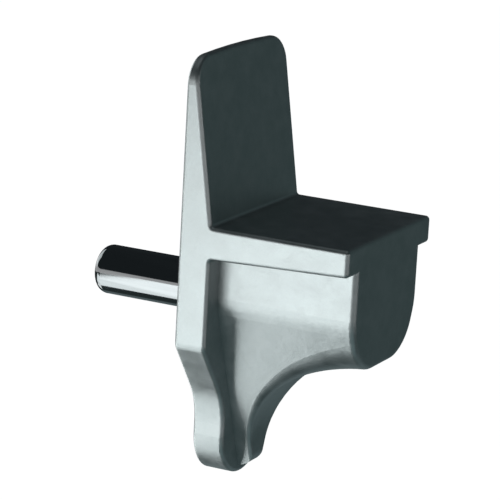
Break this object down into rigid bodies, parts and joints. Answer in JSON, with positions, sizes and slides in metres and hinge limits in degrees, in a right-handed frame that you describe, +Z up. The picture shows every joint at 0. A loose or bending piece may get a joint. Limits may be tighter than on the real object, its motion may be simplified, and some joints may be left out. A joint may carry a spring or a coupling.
{
  "type": "shelf support pin",
  "caption": "Die-cast shelf support, satin nickel plated, with a steel pin for a bored cabinet side, a flat ledge for the shelf, a tall back plate and a curved rib under the ledge.",
  "frame": {"origin": "where the axis of the pin meets the flat back of the bracket", "axes": "+X out of the cabinet side towards the shelf, +Y along the cabinet side, +Z up"},
  "size_m": [0.0189, 0.0114, 0.0258],
  "materials": {
    "bracket": "satin nickel plate on a zinc casting, slightly mottled",
    "pin": "polished dark steel"
  },
  "bodies": {
    "root": {"bracket": "bracket", "pin": "pin"}
  },
  "joints": []
}
